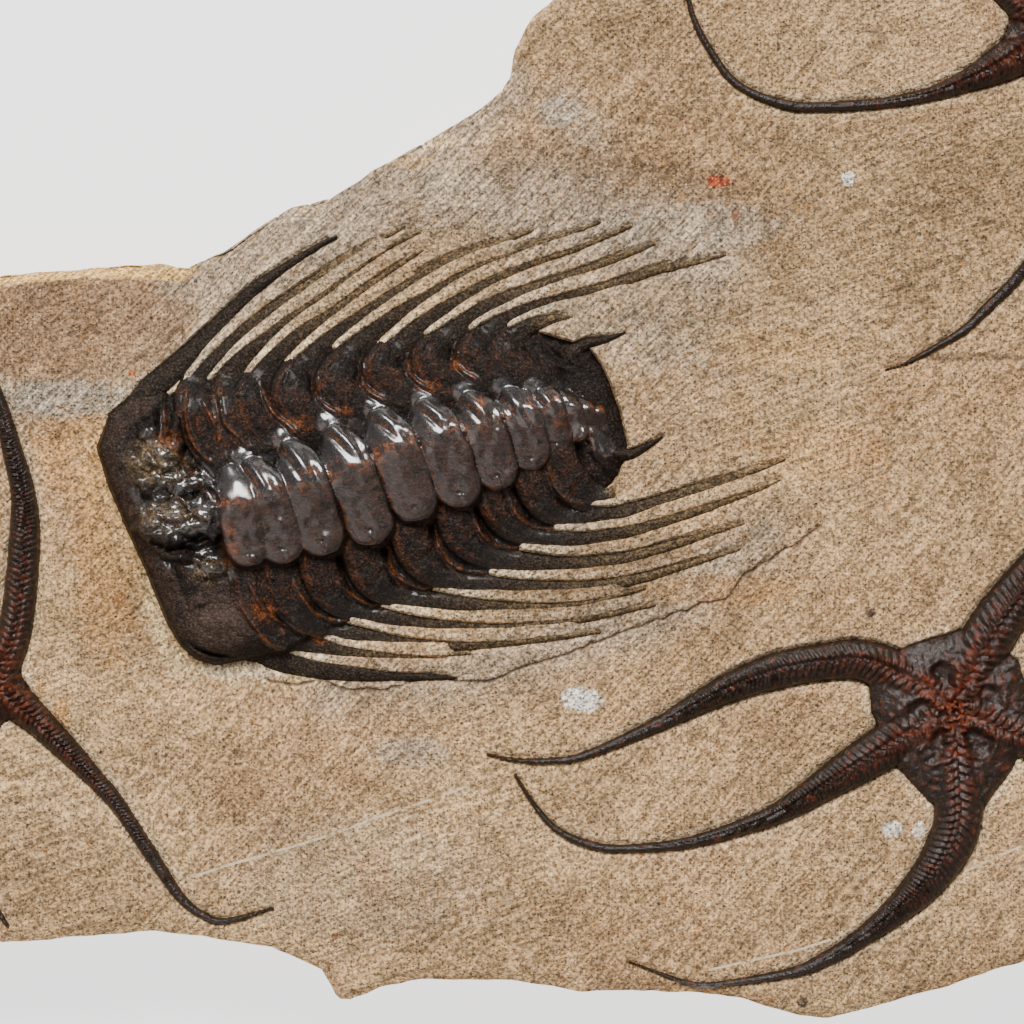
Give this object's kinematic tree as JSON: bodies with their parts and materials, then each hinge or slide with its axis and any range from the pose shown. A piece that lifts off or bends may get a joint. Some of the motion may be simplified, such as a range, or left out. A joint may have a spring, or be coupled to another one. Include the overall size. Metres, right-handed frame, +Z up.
{
  "type": "trilobite fossil on a matrix slab",
  "caption": "Split stone slab with a spiny trilobite and brittle stars cleaned out in relief on its face, lying on its flat back.",
  "frame": {"origin": "middle of the slab's flat back, under the middle of its outline's box", "axes": "+Z up out of the fossil face, +X along the slab's length from the trilobite's head towards its tail, +Y across the slab, up in the picture"},
  "size_m": [0.296, 0.2248, 0.039],
  "materials": {
    "matrix": "matt, tan to grey sandy limestone",
    "trilobite_shell": "varnished, near black with rust-brown ridges",
    "star_plates": "satin, dark brown with rusty red middles"
  },
  "bodies": {
    "root": {"matrix_slab": "matrix", "trilobite": "trilobite_shell", "brittle_star_right": "star_plates", "brittle_star_left": "star_plates", "brittle_star_top": "star_plates"}
  },
  "joints": []
}
